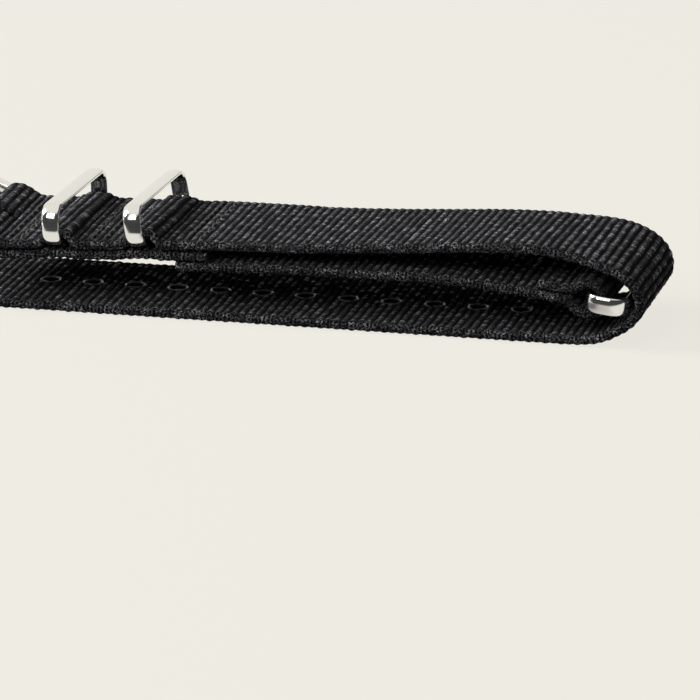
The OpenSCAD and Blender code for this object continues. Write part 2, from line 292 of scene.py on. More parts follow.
def hole_walls(removed, cols):
    """Faces from the top to the underside, round the cells of the webbing that are left out."""
    faces = []
    under = 2 * len(COLUMNS) + RIM - 1
    for i, k in np.argwhere(removed):
        a, b = i * cols, (i + 1) * cols
        ring = [
            (a + k, a + under - k),
            (b + k, b + under - k),
            (b + k + 1, b + under - k - 1),
            (a + k + 1, a + under - k - 1),
        ]
        for q, (bi, bk) in enumerate([(i, k - 1), (i + 1, k), (i, k + 1), (i - 1, k)]):
            inside = 0 <= bi < removed.shape[0] and 0 <= bk < removed.shape[1]
            if not (inside and removed[bi, bk]):
                (t0, u0), (t1, u1) = ring[q], ring[(q + 1) % 4]
                faces.append((t0, t1, u1, u0))
    return faces


def webbing(name, line, s0, s1, half=None, lift=None, cut=None, relief=None, holes=()):
    """Ribbed webbing along part of a line.

    half is half its width, lift a rise in Z, cut the cells left out, relief how strong the ribs
    are, and holes the places along the line whose cells left out are drawn to a round hole.
    """
    rows = int(round((s1 - s0) / (RIB / PER_RIB))) + 1
    s = np.linspace(s0, s1, rows)
    # Once round the webbing: the top, an edge, the underside and the other edge
    n = len(COLUMNS)
    top, under = slice(0, n), slice(n + RIM, 2 * n + RIM)
    y0 = np.r_[COLUMNS / FLAT, np.ones(RIM), -COLUMNS / FLAT, -np.ones(RIM)]
    side = np.r_[np.ones(n), np.cos(ROUND), -np.ones(n), -np.cos(ROUND)]
    out = np.r_[np.zeros(n), np.sin(ROUND), np.zeros(n), -np.sin(ROUND)]
    rim_v = FLAT + ROUND / math.pi * RIM_LENGTH
    across = np.r_[COLUMNS, rim_v, COLUMNS + 2 * FLAT + RIM_LENGTH, rim_v + 2 * FLAT + RIM_LENGTH]
    cols = len(y0)
    grid_s = np.repeat(s[:, None], cols, 1)
    w = HALF * np.ones(rows) if half is None else half(s)
    e = np.minimum(EDGE, 0.5 * w)[:, None]
    grid_y = y0[None, :] * (w[:, None] - e)
    removed = np.zeros((rows - 1, n - 1), bool)
    if cut is not None:
        mid_s, mid_y = (s[1:] + s[:-1]) / 2, (COLUMNS[1:] + COLUMNS[:-1]) / 2
        removed = cut(mid_s[:, None], mid_y[None, :])
    # The border of each hole becomes a circle, which the melted rim covers
    for at in holes:
        for face in (top, under):
            ds, dy = grid_s[:, face] - at, grid_y[:, face]
            d = np.hypot(ds, dy)
            cells = removed if face is top else removed[:, ::-1]
            edge = corners_of(cells) & corners_of(~cells) & (d < 2 * HOLE_R)
            f = np.where(edge, (HOLE_R + 0.15) / np.maximum(d, 1e-6), 1)
            grid_s[:, face] = at + ds * f
            grid_y[:, face] = dy * f
    strength = RELIEF * (np.ones(rows) if relief is None else relief(s))[:, None]
    phase = grid_s + 0.07 * wobble(grid_s * 0.4, grid_y, 1.0)
    number = np.round(phase / RIB)
    # Warp threads pass over every second rib, and their neighbours over the ribs between
    thread = across[None, :] / WARP + number / 2
    chance = scatter(number, np.round(thread))
    crest = abs(np.cos(math.pi * (phase / RIB + 0.12 * (chance - 0.5)))) ** 0.9
    bead = 0.5 + 0.5 * abs(np.cos(math.pi * thread)) ** 0.8
    middle = 1 - 0.45 * np.clip((abs(grid_y) - 8.6) / 0.8, 0, 1)
    swell = strength * middle * (crest * bead * (0.8 + 0.4 * chance) - 0.8)
    # Each rib's weft turns back at the edges in two strands
    strand = abs(np.cos(2 * math.pi * grid_s / RIB + 0.5)) ** 0.7
    slant = np.cos(math.pi * grid_s / RIB)
    loose = scatter(number, np.round(3 * out) + 7 * (side > 0))
    h = side[None, :] * (THICK / 2 + swell) + 0.05 * slant * abs(out)[None, :]
    y = grid_y + out[None, :] * (e + 0.1 * strand + 0.08 * crest - 0.2 + 0.14 * loose)
    x, z, nx, nz = line.at(grid_s)
    # It waves a little where it doesn't lie on the surface
    z = z + 0.06 * wobble(grid_s * 0.15, grid_y * 0.2, 5.0) * (z > 1.5)
    px, pz = x + nx * h, z + nz * h
    if lift is not None:
        pz = pz + lift(px, y, pz)
    verts = np.stack([px, y, pz], 2).reshape(-1, 3)
    gone = np.zeros((rows - 1, cols), bool)
    gone[:, : n - 1] = removed
    gone[:, n + RIM : 2 * n + RIM - 1] = removed[:, ::-1]
    faces = [f for f, left_out in zip(grid_faces(rows, cols), gone.ravel()) if not left_out]
    faces += hole_walls(removed, cols) + end_faces(rows, cols)
    uv = np.stack([phase, np.repeat(across[None, :], rows, 0)], 2).reshape(-1, 2)
    obj = make(name, verts, faces, "webbing", uv, cols, AROUND)
    for end in obj.data.polygons[-2:]:
        for corner in end.loop_indices:
            obj.data.edges[obj.data.loops[corner].edge_index].use_edge_sharp = True
    return obj


# Materials
def nodes_of(name):
    mat = bpy.data.materials.new(name)
    mat.use_nodes = True
    tree = mat.node_tree
    return mat, tree, tree.nodes["Principled BSDF"]


def add(tree, kind, **values):
    node = tree.nodes.new(kind)
    for key, value in values.items():
        if hasattr(node, key):
            setattr(node, key, value)
        else:
            node.inputs[key.replace("_", " ")].default_value = value
    return node


def calc(tree, operation, a, b=None, c=None):
    node = tree.nodes.new("ShaderNodeMath")
    node.operation = operation
    for i, v in enumerate((a, b, c)):
        if v is None:
            continue
        if isinstance(v, (int, float)):
            node.inputs[i].default_value = v
        else:
            tree.links.new(v, node.inputs[i])
    return node.outputs[0]


def blend_colour(tree, factor, dark, light):
    ramp = add(tree, "ShaderNodeMix", data_type="RGBA")
    tree.links.new(factor, ramp.inputs["Factor"])
    ramp.inputs["A"].default_value = (*dark, 1)
    ramp.inputs["B"].default_value = (*light, 1)
    return ramp.outputs["Result"]


def remap(tree, value, **limits):
    node = add(tree, "ShaderNodeMapRange", **limits)
    tree.links.new(value, node.inputs["Value"])
    return node.outputs[0]


def wave(tree, value):
    """1 at whole numbers and 0 halfway between them."""
    cosine = calc(tree, "COSINE", calc(tree, "MULTIPLY", value, math.pi))
    return calc(tree, "ABSOLUTE", cosine)


def pair(tree, x, y):
    node = add(tree, "ShaderNodeCombineXYZ")
    tree.links.new(x, node.inputs[0])
    tree.links.new(y, node.inputs[1])
    return node.outputs[0]


def parts(tree, vector):
    node = add(tree, "ShaderNodeSeparateXYZ")
    tree.links.new(vector, node.inputs[0])
    return node.outputs


def object_place(tree):
    return add(tree, "ShaderNodeTexCoord").outputs["Object"]


def texture(tree, kind, **values):
    node = add(tree, kind, **values)
    tree.links.new(object_place(tree), node.inputs["Vector"])
    return node


def bumps(tree, bsdf, height, strength, distance):
    node = add(tree, "ShaderNodeBump", Strength=strength, Distance=distance)
    tree.links.new(height, node.inputs["Height"])
    tree.links.new(node.outputs[0], bsdf.inputs["Normal"])


def mix_shaders(tree, factor, first, second):
    node = add(tree, "ShaderNodeMixShader")
    for i, socket in enumerate((factor, first, second)):
        tree.links.new(socket, node.inputs[i])
    return node.outputs[0]


# The webbing's black, the pale of its painted highlights, and the thread's black
BLACK, PAINTED_GLINT, THREAD = (0.0055, 0.0055, 0.006), (0.68, 0.68, 0.72), (0.012, 0.012, 0.013)
# The painted shade inside the holes, and the melted rims' grey, partly painted highlight
HOLE_SHADE, MELTED_AND_HIGHLIGHT = (0.008, 0.008, 0.008), (0.1, 0.105, 0.104)
STEEL = (0.87, 0.865, 0.85)


def webbing_material():
    """Black woven ribs, painted shade in their grooves, and painted highlights on filaments and edge
    loops.
    """
    mat, tree, bsdf = nodes_of("webbing_look")
    uv = add(tree, "ShaderNodeUVMap", uv_map="along")
    u, v, _ = parts(tree, uv.outputs[0])
    along = calc(tree, "MULTIPLY", u, UV_SCALE / RIB)
    across = calc(tree, "MULTIPLY", v, UV_SCALE / WARP)
    # The same ribs and warp threads as in the mesh
    row = calc(tree, "MULTIPLY", calc(tree, "FLOOR", calc(tree, "ADD", along, 0.5)), 0.5)
    moved = calc(tree, "ADD", across, row)
    number = calc(tree, "FLOOR", calc(tree, "ADD", moved, 0.5))
    chance = add(tree, "ShaderNodeTexWhiteNoise", noise_dimensions="2D")
    cell = pair(tree, calc(tree, "MULTIPLY", row, 2.0), number)
    tree.links.new(cell, chance.inputs["Vector"])
    # How strongly each warp float's painted highlight shows, at random from float to float
    lit = calc(tree, "MULTIPLY_ADD", calc(tree, "POWER", chance.outputs[0], 2.5), 0.88, 0.12)
    # Painted shade: dark gaps between the warp threads and dark grooves between the ribs, with the
    # crests paler
    thread = calc(tree, "MULTIPLY_ADD", wave(tree, moved), 0.85, 0.15)
    weave_and_groove_shade = calc(tree, "MULTIPLY", thread, calc(tree, "POWER", wave(tree, along), 2.0))
    # Filaments run along the strap over each rib
    stretch = pair(tree, calc(tree, "MULTIPLY", along, 3.6), calc(tree, "MULTIPLY", across, 2.4))
    noise = add(tree, "ShaderNodeTexNoise", Scale=1.0, Detail=4.0, Roughness=0.75)
    tree.links.new(stretch, noise.inputs["Vector"])
    fibre = noise.outputs[0]
    sharp = remap(tree, fibre, From_Min=0.45, From_Max=0.58)
    # Painted highlights: pale specks on the filaments over the crests of the ribs
    light = calc(tree, "MULTIPLY", calc(tree, "MULTIPLY", weave_and_groove_shade, sharp), lit)
    # At the edges the weft turns back in small loops, whose outlines are painted as highlights
    spots = add(tree, "ShaderNodeTexVoronoi", Scale=1.0, Randomness=0.5, voronoi_dimensions="2D")
    spot = pair(tree, calc(tree, "MULTIPLY", along, 1.3), across)
    tree.links.new(spot, spots.inputs["Vector"])
    curl = calc(tree, "ABSOLUTE", calc(tree, "SUBTRACT", spots.outputs["Distance"], 0.36))
    loop = remap(tree, curl, From_Min=0.13, From_Max=0.03)
    sway = calc(tree, "MULTIPLY_ADD", fibre, 0.9, calc(tree, "MULTIPLY", along, 2.0))
    strand = calc(tree, "POWER", wave(tree, sway), 3.0)
    edge = calc(tree, "MAXIMUM", loop, calc(tree, "MULTIPLY", strand, 0.55))
    # 1 on the edges, from the distance to the middle of the nearer one
    place = calc(tree, "FLOORED_MODULO", calc(tree, "MULTIPLY", v, UV_SCALE), AROUND)
    edge_middle, half_round = FLAT + RIM_LENGTH / 2, AROUND / 2
    mirrored = calc(tree, "ABSOLUTE", calc(tree, "SUBTRACT", place, half_round))
    away = calc(tree, "ABSOLUTE", calc(tree, "SUBTRACT", mirrored, half_round - edge_middle))
    rim = remap(tree, away, From_Min=1.3, From_Max=0.8)
    inner = calc(tree, "SUBTRACT", 1.0, rim)
    # Painted highlights on the loops' outlines at the edges; the filaments' painted highlights keep
    # to the top and underside, a little weaker
    loop_glint_strength = calc(tree, "MULTIPLY", sharp, calc(tree, "MULTIPLY_ADD", lit, 0.66, 0.1))
    turned = calc(tree, "MULTIPLY", calc(tree, "MULTIPLY", edge, rim), loop_glint_strength)
    light = calc(tree, "MULTIPLY_ADD", light, calc(tree, "MULTIPLY", inner, 0.86), turned)
    # The painted groove shade keeps to the top and underside, and the loops' painted highlights join
    # it, for the colour and the bumps
    weave_and_groove_shade = calc(tree, "MULTIPLY_ADD", weave_and_groove_shade, inner, calc(tree, "MULTIPLY", turned, 1.2))
    height = calc(tree, "ADD", calc(tree, "MULTIPLY", weave_and_groove_shade, 0.6), fibre)
    bumps(tree, bsdf, height, 1.0, 0.00016)
    gloss = calc(tree, "MAXIMUM", calc(tree, "MULTIPLY_ADD", light, 1.5, -0.3), 0.0)
    tree.links.new(gloss, bsdf.inputs["Specular IOR Level"])
    # Colour: black, paler on the crests than in the grooves as painted shade, darker at the edges
    # than inside, and pale where highlights are painted
    base = calc(tree, "MULTIPLY_ADD", weave_and_groove_shade, 0.06, calc(tree, "MULTIPLY", inner, 0.0135))
    shade = calc(tree, "MULTIPLY_ADD", light, 0.9, base)
    tree.links.new(blend_colour(tree, shade, BLACK, PAINTED_GLINT), bsdf.inputs["Base Color"])
    bsdf.inputs["Roughness"].default_value = 0.4
    return mat


def thread_material():
    mat, tree, bsdf = nodes_of("thread_look")
    twist = texture(
        tree, "ShaderNodeTexWave", Scale=900.0, Distortion=0.6, bands_direction="DIAGONAL"
    )
    bumps(tree, bsdf, twist.outputs[1], 0.6, 0.00006)
    bsdf.inputs["Base Color"].default_value = (*THREAD, 1)
    bsdf.inputs["Roughness"].default_value = 0.5
    return mat


def rim_material():
    mat, tree, bsdf = nodes_of("melted_look")
    lumps = texture(tree, "ShaderNodeTexNoise", Scale=1400.0, Detail=2.0)
    bumps(tree, bsdf, lumps.outputs[0], 0.5, 0.0001)
    # Paler on the two rims than on the hole's wall between them: the wall is painted dark as the
    # shade inside the hole, and the rims' grey is partly the melted nylon's and partly painted
    # highlight
    off = calc(tree, "SUBTRACT", parts(tree, object_place(tree))[2], THICK / 2 * MM)
    rim = remap(tree, calc(tree, "ABSOLUTE", off), From_Min=0.0004, From_Max=0.0006)
    tree.links.new(blend_colour(tree, rim, HOLE_SHADE, MELTED_AND_HIGHLIGHT), bsdf.inputs["Base Color"])
    tree.links.new(calc(tree, "MULTIPLY", rim, 0.5), bsdf.inputs["Specular IOR Level"])
    bsdf.inputs["Roughness"].default_value = 0.34
    return mat


def steel_material():
    mat, tree, bsdf = nodes_of("steel_look")
    wear = texture(tree, "ShaderNodeTexNoise", Scale=420.0, Detail=4.0, Roughness=0.6)
    rough = remap(tree, wear.outputs[0], To_Min=0.09, To_Max=0.17)
    tree.links.new(rough, bsdf.inputs["Roughness"])
    bumps(tree, bsdf, wear.outputs[0], 0.12, 0.00005)
    bsdf.inputs["Base Color"].default_value = (*STEEL, 1)
    bsdf.inputs["Metallic"].default_value = 1.0
    return mat


MATERIALS = {
    "webbing": webbing_material(),
    "thread": thread_material(),
    "rim": rim_material(),
    "steel": steel_material(),
}

# The main strap's middle line, from its tip to the end of the return layer
SHIFT = BEND_X - 9.15
LOWER_Z = THICK / 2
fold_points = [
    (-6, 0.6), (0, 0.6), (4.5, 0.61), (8.2, 0.78), (10.65, 1.58), (12.7, 2.9), (13.8, 4.3),
    (14.05, 5.4), (13.65, 6.85), (12.6, 8.15), (11.3, 9.0), (9.65, 9.62), (7.65, 10.13),
    (5.0, 10.53), (1.0, 10.82), (-4.9, 10.7), (-14.5, 10.05), (-26, 9.42), (-34, 9.29),
]
main_points = [np.array([x, LOWER_Z]) for x in np.arange(TAIL_END, SHIFT - 7, 1.0)]
main_points += [q + np.array([SHIFT, 0]) for q in through(fold_points)]


def over_keepers(u):
    """How far the top layer has risen, from 0 to 1, over each keeper's lower bar."""
    return [hump(u, at + POCKET_AT, POCKET_FLAT, POCKET_RAMP) for at in (KEEPER_1_U, KEEPER_2_U)]


def top_layer(u):
    """How high the top layer lies on the sewn stretch, over the keepers' and the buckle's bars."""
    return POCKET_RISE * sum(over_keepers(u)) + BAR_RISE * hump(u, BAR_U, 0, BAR_RAMP)


main_points += [from_sewn(u, top_layer(u)) for u in np.arange(-1.0, BAR_U, -0.1)]
for a in np.radians(np.arange(92, 270, 4)):
    main_points.append(from_sewn(BAR_U + BAR_LOOP * math.cos(a), BAR_W + BAR_LOOP * math.sin(a)))
main_points += [from_sewn(u, -LAYER_STEP) for u in np.arange(BAR_U, 0.0, 0.25)]
main = Line(main_points)

PLACES = np.linspace(-40, 0, 801)
OVER_BAR = [max(over_keepers(u)) for u in PLACES]
# How much higher the near edge is than the middle along the upper run, as measured in the photo
TWIST_X = np.array([-72, -60, -42, -20, -5, 3, 7, 9.5, 12]) + SHIFT
TWIST = [-0.42, -0.25, -0.05, 0.28, 0.42, 0.42, 0.12, -0.05, 0]
# How far its whole width rises towards the buckle, and its near edge over a keeper's lower bar
BUCKLE_LIFT, KEEPER_LIFT = 0.1, 0.28
# The height at which this begins in the fold, and the height over which it grows to the whole
TWIST_Z, TWIST_RAMP = 4.5, 3


def rise(x, y, z):
    """The upper run is twisted a little, and rests on keepers whose near ends stand higher."""
    amount = np.interp(x, TWIST_X, TWIST)
    more = np.interp(x, TWIST_X[[1, 2]], [BUCKLE_LIFT, 0.0])
    u = (x - SEWN_X) / math.cos(SEWN_TILT)
    top = z > SEWN_Z + (x - SEWN_X) * math.tan(SEWN_TILT) - LAYER_STEP / 2
    over = KEEPER_LIFT * np.interp(u, PLACES, OVER_BAR) * top
    return (more - (amount + over) * y / HALF) * np.clip((z - TWIST_Z) / TWIST_RAMP, 0, 1)


def whole(s):
    """The groove between two ribs that is nearest to s."""
    return RIB * (np.floor(s / RIB) + 0.5)


# Where the upper webbing takes over from the lower one, and where it goes round the bar
split = whole(main.where(lambda x, z: (x < BEND_X + 0.58) & (z > 7)))
bar_s = main.where(lambda x, z: (x < 9.8) & (z > 5))


def lower_half(s):
    """Half the width, rounded off towards the tip."""
    near = np.clip(1 - s / TIP, 0, 0.9999)
    return HALF * np.sqrt(1 - near**2) + 0.05


def upper_half(s):
    """Half the width, a little less inside the keepers."""
    u = (main.at(s)[0] - SEWN_X) / math.cos(SEWN_TILT)
    narrow = [max(hump(v, at, 1.2, 1.6) for at in (KEEPER_1_U, KEEPER_2_U)) for v in u]
    return HALF - 0.6 * np.array(narrow)


hole_s = [FIRST_HOLE - i * HOLE_PITCH - TAIL_END for i in range(HOLES)]


def hole_cells(s, y):
    """The cells inside the holes."""
    hit = np.zeros(np.broadcast(s, y).shape, bool)
    for at in hole_s:
        hit |= np.hypot(s - at, y) < HOLE_R
    return hit


def slot_cells(s, y):
    """The cells inside the tongue's slot."""
    return (abs(y) < SLOT_W) & (s > bar_s - SLOT_BEFORE) & (s < bar_s + SLOT_AFTER)


lower = webbing(
    "webbing_lower", main, 0.12, split, half=lower_half, lift=rise, cut=hole_cells,
    relief=lambda s: np.clip((s - 0.4) / 1.5, 0.15, 1), holes=hole_s,
)
upper = webbing(
    "webbing_upper", main, split, main.length, half=upper_half, lift=rise, cut=slot_cells,
    relief=lambda s: 1 - 0.45 * np.exp(-(((s - bar_s) / 3.0) ** 2)),
)

# The flap's middle line, from its sewn root to its turned-back end
LOOP_R = math.hypot(BAND_T, BAND_W) / 2 + RING_ROOM + THICK / 2
root = from_sewn(0, FLAP_W)
along_slope, off_slope = turn(FLAP_SLOPE), turn(FLAP_SLOPE + math.pi / 2)
flap_points = [from_sewn(u, FLAP_W) for u in np.arange(FLAP_ROOT, 0, 0.2)]
# It sags a little where nothing holds it
web = bezier(root, root + 20 * turn(SEWN_TILT), FLAP_SEAM - 12 * along_slope, FLAP_SEAM, 80)
for q in web:
    flap_points.append(q - np.array([0, SAG * math.exp(-(((q[0] - SAG_X) / SAG_REACH) ** 2))]))
low = RING_BAR + LOOP_R * turn(math.radians(LOOP_FROM))
down = turn(math.radians(LOOP_FROM + 90))
flap_points += bezier(FLAP_SEAM, FLAP_SEAM + along_slope, low - 0.8 * down, low, 14)
flap_points += arc(RING_BAR, LOOP_R, LOOP_FROM, LOOP_TO, 50)
high = RING_BAR + LOOP_R * turn(math.radians(LOOP_TO))
past = turn(math.radians(LOOP_TO + 90))
back = FLAP_SEAM + LAYER_STEP * off_slope
flap_points += bezier(high, high + 0.7 * past, back + 0.7 * along_slope, back, 14)
flap_points += [back - d * along_slope for d in np.arange(0.1, 3.3, 0.1)]
flap_line = Line(flap_points)
fold_s = flap_line.where(lambda x, z: (x > RING_X + LOOP_R - 0.05))


def flap_half(s):
    """Half the width, a little less round the ring."""
    return HALF - 0.35 * np.exp(-(((s - fold_s) / 4.5) ** 4))


flap = webbing(
    "webbing_flap", flap_line, 0.0, flap_line.length, half=flap_half,
    relief=lambda s: 1 - 0.35 * np.exp(-(((s - fold_s) / 2.5) ** 2)),
)


# Melted rims of the holes
def rims():
    section = []
    for a in np.linspace(0, 2 * math.pi, 20, endpoint=False):
        r = HOLE_R + RIM_OUT + RIM_HALF_W * softened(math.cos(a), 0.8)
        section.append((r, THICK / 2 + RIM_HALF_H * softened(math.sin(a), 0.7)))
    verts, faces = [], []
    turns = 40
    for number, s in enumerate(hole_s):
        first = len(verts)
        for i in range(turns):
            a = 2 * math.pi * i / turns
            # Small lumps, other ones at each hole
            out = 0.05 * math.sin(3 * a + number) + 0.03 * math.sin(7 * a + 2 * number)
            up = 0.02 * math.sin(5 * a + number)
            for r, z in section:
                x, y = (r + out) * math.cos(a), (r + out) * math.sin(a)
                verts.append((TAIL_END + s + x, y, z + up))
        faces += [f[::-1] for f in grid_faces(turns, len(section), True, first)]
    return make("hole_rims", verts, faces, "rim")


hole_rims = rims()


# Stitches across the webbing
def stitch(x, z, nx, nz, mid, first):
    """One stitch across the webbing, whose ends go down into it."""
    sides, rings = 8, 11
    verts = []
    for t in np.linspace(-1, 1, rings):
        h = STITCH_RISE * math.sqrt(max(0.0, 1 - abs(t) ** 2.5)) - 0.1 - STITCH_DIP * abs(t) ** 4
        for k in range(sides):
            a = 2 * math.pi * k / sides
            up, along = h + THREAD_R * math.sin(a), THREAD_R * math.cos(a)
            y = mid + STITCH_HALF * t
            verts.append((x + nx * up + nz * along, y, z + nz * up - nx * along))
    return verts, grid_faces(rings, sides, False, first) + end_faces(rings, sides, first)


def stitches(name, rows, lift=None):
    """Rows of stitches: the middle point, outward direction and half width of each.

    lift is as for webbing.
    """
    verts, faces = [], []
    for (x, z), (nx, nz), width in rows:
        count = int((2 * (width - SEW_MARGIN) - STITCH_L) / STITCH_PITCH)
        for i in range(count + 1):
            mid = (i - count / 2) * STITCH_PITCH
            more, quads = stitch(x, z, nx, nz, mid, len(verts))
            verts += more
            faces += quads
    v = np.array(verts)
    if lift is not None:
        v[:, 2] += lift(v[:, 0], v[:, 1], v[:, 2])
    return make(name, v, faces, "thread")


def both_sides(places, up, top, bottom, width):
    """Rows of stitches at the places, on the upper side and on the underside."""
    rows = []
    for p in places:
        rows += [(p + top * up, up, width), (p + bottom * up, -up, width)]
    return rows


OUTSIDE = THICK / 2 - STITCH_IN


def sewn_rows(u, bottom):
    places = [from_sewn(u + d, 0) for d in (-ROW_GAP / 2, ROW_GAP / 2)]
    return both_sides(places, turn(SEWN_TILT + math.pi / 2), OUTSIDE, bottom, HALF)


return_side = -LAYER_STEP - OUTSIDE
# Midway between the end of the bar's rise and the room for keeper 1
between = (BAR_U + BAR_RAMP + KEEPER_1_U - SEAM_ROOM) / 2
seam_buckle = stitches("seam_buckle", sewn_rows(between, return_side), rise)
between = (KEEPER_1_U + KEEPER_2_U) / 2
seam_bridge = stitches("seam_bridge", sewn_rows(between, return_side), rise)
seam_root = stitches("seam_root", sewn_rows(FLAP_ROOT / 2, FLAP_W - OUTSIDE), rise)
places = [FLAP_SEAM + d * along_slope for d in (0.2 - ROW_GAP, 0.2)]
flap_rows = both_sides(places, off_slope, LAYER_STEP + OUTSIDE, -OUTSIDE, HALF - 0.3)
seam_flap = stitches("seam_flap", flap_rows)


# Steel
def ring(name, origin, angle, roll=0.0, shift=0.0, height=KEEPER_H, droop=0.0):
    """A flat band bent to a rectangle with round corners.

    Its lower bar is at the origin, and the upper one at the height above it.
    """
    half_l, half_h = (RING_L - BAND_T) / 2, height / 2
    corner = RING_CORNER - BAND_T / 2
    bends = []
    for cy, cz, a0 in ((1, 1, 0), (-1, 1, 90), (-1, -1, 180), (1, -1, 270)):
        for a in np.radians(np.linspace(a0, a0 + 90, 13)):
            y = cy * (half_l - corner) + corner * math.cos(a)
            z = cz * (half_h - corner) + corner * math.sin(a)
            bends.append((y, z, a))
    # More points where it is straight
    path = []
    for p, q in zip(bends, bends[1:] + bends[:1]):
        path.append(p)
        count = int(math.hypot(q[0] - p[0], q[1] - p[1]) / BAND_STEP)
        for t in range(1, count):
            f = t / count
            path.append((p[0] + (q[0] - p[0]) * f, p[1] + (q[1] - p[1]) * f, p[2]))
    section = ellipse(BAND_HALF_W, BAND_HALF_T, 40, 3.0)
    verts = []
    for y, z, a in path:
        for along, out in section:
            # Its outer face is slightly crowned
            if out > 0:
                out += CROWN * (1 - (along / BAND_HALF_W) ** 2) - 0.04
            across, up = y + out * math.cos(a), z + half_h + out * math.sin(a)
            rolled = across * math.cos(roll) + up * math.sin(roll) + shift
            verts.append((along, rolled, up * math.cos(roll) - across * math.sin(roll)))
    faces = grid_faces(len(path), len(section), True)
    verts = placed(verts, origin, angle)
    verts[:, 2] -= droop * (verts[:, 1] + HALF)
    return make(name, verts, [f[::-1] for f in faces], "steel")


def keeper(name, u, lean):
    bar = from_sewn(u, KEEPER_BAR_W)
    return ring(name, bar, -SEWN_TILT - lean, KEEPER_ROLL, KEEPER_SHIFT)


keeper_1 = keeper("keeper_1_steel", KEEPER_1_U, 0)
keeper_2 = keeper("keeper_2_steel", KEEPER_2_U, KEEPER_LEAN)
flap_ring = ring(
    "flap_ring_steel", RING_BAR, math.pi / 2 + RING_LEAN, height=RING_H, droop=RING_DROOP
)


def lathe(profile, first, turns=40):
    """A ring turned about Y from a closed list of (radius, y), its faces numbered from first."""
    verts = []
    for i in range(turns):
        a = 2 * math.pi * i / turns
        verts += [(r * math.cos(a), y, r * math.sin(a)) for r, y in profile]
    return verts, grid_faces(turns, len(profile), True, first)


def soft_box(r0, r1, y0, y1, power=5, n=28):
    """A rectangle with rounded corners, as a profile for lathe."""
    c = ellipse((r1 - r0) / 2, (y1 - y0) / 2, n, power)
    return [(a + (r0 + r1) / 2, b + (y0 + y1) / 2) for a, b in c]


BAR_AT = from_sewn(BAR_U, BAR_W)
# The frame's tilt against the surface
TILT = FRAME_TILT - SEWN_TILT


def buckle():
    """The frame: two arms with eyes on the bar, round corners, and a front bar with a notch."""
    quarter = math.pi / 2
    # Half of its middle line: X, Y, half its width and its outward direction
    path = []
    for t in np.linspace(0, 1, 10):
        path.append((t * (FRONT_X + FRAME_CORNER), ARM_Y, ARM_W, quarter))
    for a in np.radians(np.linspace(0, 90, 14)[1:]):
        x = FRONT_X + FRAME_CORNER - FRAME_CORNER * math.sin(a)
        y = ARM_Y - FRAME_CORNER + FRAME_CORNER * math.cos(a)
        path.append((x, y, ARM_W + (FRONT_W - ARM_W) * a / quarter, quarter + a))
    for y in [8, 7, 5, 3, 2, 1.4, 1.15, 1.0, 0.85, 0.6, 0.3, 0]:
        path.append((FRONT_X, y, FRONT_W, math.pi))
    path += [(x, -y, w, 2 * math.pi - a) for x, y, w, a in path[-2::-1]]
    section = ellipse(1, 1, 32, 3.6)
    verts = []
    for x, y, w, a in path:
        ox, oy = math.cos(a), math.sin(a)
        # The tongue's notch
        depth = float(np.clip((NOTCH_Y - abs(y)) / NOTCH_RAMP, 0, 1))
        dip = NOTCH_DIP * depth if x < FRONT_X + FRONT_W else 0.0
        for p, q in section:
            z = q * FRAME_H
            if z > 0:
                z -= dip * z / FRAME_H
            verts.append((x + ox * p * w, y + oy * p * w, z))
    faces = [f[::-1] for f in grid_faces(len(path), len(section))]
    faces += end_faces(len(path), len(section))
    for s in (-1, 1):
        inner, outer = s * ARM_Y - FRAME_EYE_W, s * ARM_Y + FRAME_EYE_W
        eye = soft_box(FRAME_BORE_R, FRAME_EYE_R, inner, outer)
        more, quads = lathe(eye, len(verts))
        verts += more
        faces += quads
    return make("buckle_frame_steel", placed(verts, BAR_AT, TILT), faces, "steel")


buckle_frame = buckle()


def tongue():
    """The tongue: an eye on the bar, and a rod from its top that comes to rest in the notch."""
    rest = FRAME_H - NOTCH + TONGUE_ROOM + TONGUE_H
    eye = TONGUE_EYE_R - TONGUE_H - 0.05
    curve = ((0.1, eye), (-1.5, eye), (-2.5, rest), (-4.0, rest))
    line = bezier(*[np.array(p) for p in curve], 14)
    straight = [*np.linspace(-5, -13.2, 9), -13.5, -13.8, -14.02, -14.12]
    line += [np.array([x, rest]) for x in straight]
    size = [1.0] * (len(line) - 3) + [0.9, 0.6, 0.2]
    section = ellipse(TONGUE_W, TONGUE_H, 24, 3.4)
    verts = []
    for i, p in enumerate(line):
        d = line[min(i + 1, len(line) - 1)] - line[max(i - 1, 0)]
        d = d / np.linalg.norm(d)
        for y, h in section:
            verts.append((p[0] + d[1] * h * size[i], y * size[i], p[1] - d[0] * h * size[i]))
    faces = grid_faces(len(line), len(section)) + end_faces(len(line), len(section))
    profile = soft_box(TONGUE_BORE_R, TONGUE_EYE_R, -TONGUE_W, TONGUE_W)
    more, quads = lathe(profile, len(verts))
    return make("tongue_steel", placed(verts + more, BAR_AT, TILT), faces + quads, "steel")


tongue_piece = tongue()
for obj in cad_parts.values():
    if obj.name.split(".")[0] == "buckle_bar":
        obj.data.materials.clear()
        obj.data.materials.append(MATERIALS["steel"])

